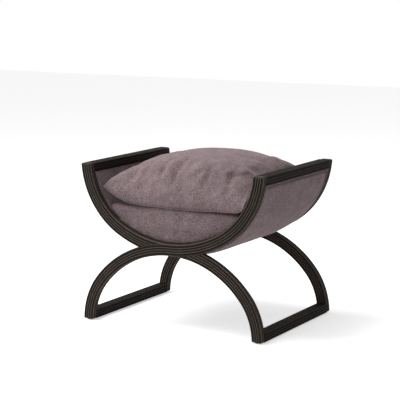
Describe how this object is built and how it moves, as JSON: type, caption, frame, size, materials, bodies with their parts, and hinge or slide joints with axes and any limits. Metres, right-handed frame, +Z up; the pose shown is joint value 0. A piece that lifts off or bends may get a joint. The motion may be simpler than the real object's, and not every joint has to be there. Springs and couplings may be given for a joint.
{
  "type": "upholstered stool",
  "caption": "Backless seat with crossed S-curved legs of reeded wood, a U-shaped upholstered tub with raised sides, a fixed seat and a loose pillow",
  "frame": {"origin": "on the floor, under the middle of the stool", "axes": "+X to the right along the width from arm to arm, +Y from front to rear, +Z up"},
  "size_m": [0.6786, 0.5, 0.5753],
  "materials": {
    "reeded_wood": "dark grey-brown stain, satin, cut into reeds",
    "plain_wood": "bare planed hardwood",
    "plywood": "bare bending plywood",
    "dowel_wood": "bare fluted beech",
    "screw_steel": "zinc plated",
    "glide_steel": "nickel plated",
    "chenille": "grey mauve chenille, soft and matt",
    "welt_fabric": "grey mauve chenille over a cord",
    "wadding": "white polyester wadding",
    "foam": "upholstery foam",
    "webbing": "woven elastic webbing"
  },
  "bodies": {
    "stool": {"front_left_s_leg": "reeded_wood", "front_right_s_leg": "reeded_wood", "rear_left_s_leg": "reeded_wood", "rear_right_s_leg": "reeded_wood", "left_arm_rail": "reeded_wood", "right_arm_rail": "reeded_wood", "left_foot_rail": "reeded_wood", "right_foot_rail": "reeded_wood", "centre_stretcher": "plain_wood", "left_stretcher": "plain_wood", "right_stretcher": "plain_wood", "plywood_tub": "plywood", "rail_dowels": "dowel_wood", "stretcher_dowels": "dowel_wood", "crown_screws": "screw_steel", "tub_screws": "screw_steel", "foot_glides": "glide_steel", "outer_wadding": "wadding", "outer_cover": "chenille", "outer_front_welt": "welt_fabric", "outer_rear_welt": "welt_fabric", "left_outer_top_welt": "welt_fabric", "right_outer_top_welt": "welt_fabric", "left_inner_pad": "foam", "right_inner_pad": "foam", "left_inner_cover": "chenille", "right_inner_cover": "chenille", "left_inner_top_welt": "welt_fabric", "right_inner_top_welt": "welt_fabric", "front_seat_board": "plywood", "rear_seat_board": "plywood", "left_seat_rail": "plain_wood", "right_seat_rail": "plain_wood", "seat_webbing": "webbing", "seat_foam": "foam", "seat_cover": "chenille"},
    "pillow": {"pillow_cover": "chenille", "pillow_filling": "wadding"}
  },
  "joints": [
    {"name": "pillow_lift", "type": "slide", "parent": "stool", "child": "pillow", "axis": [0, 0, 1], "range_m": [0, 0.25]}
  ]
}
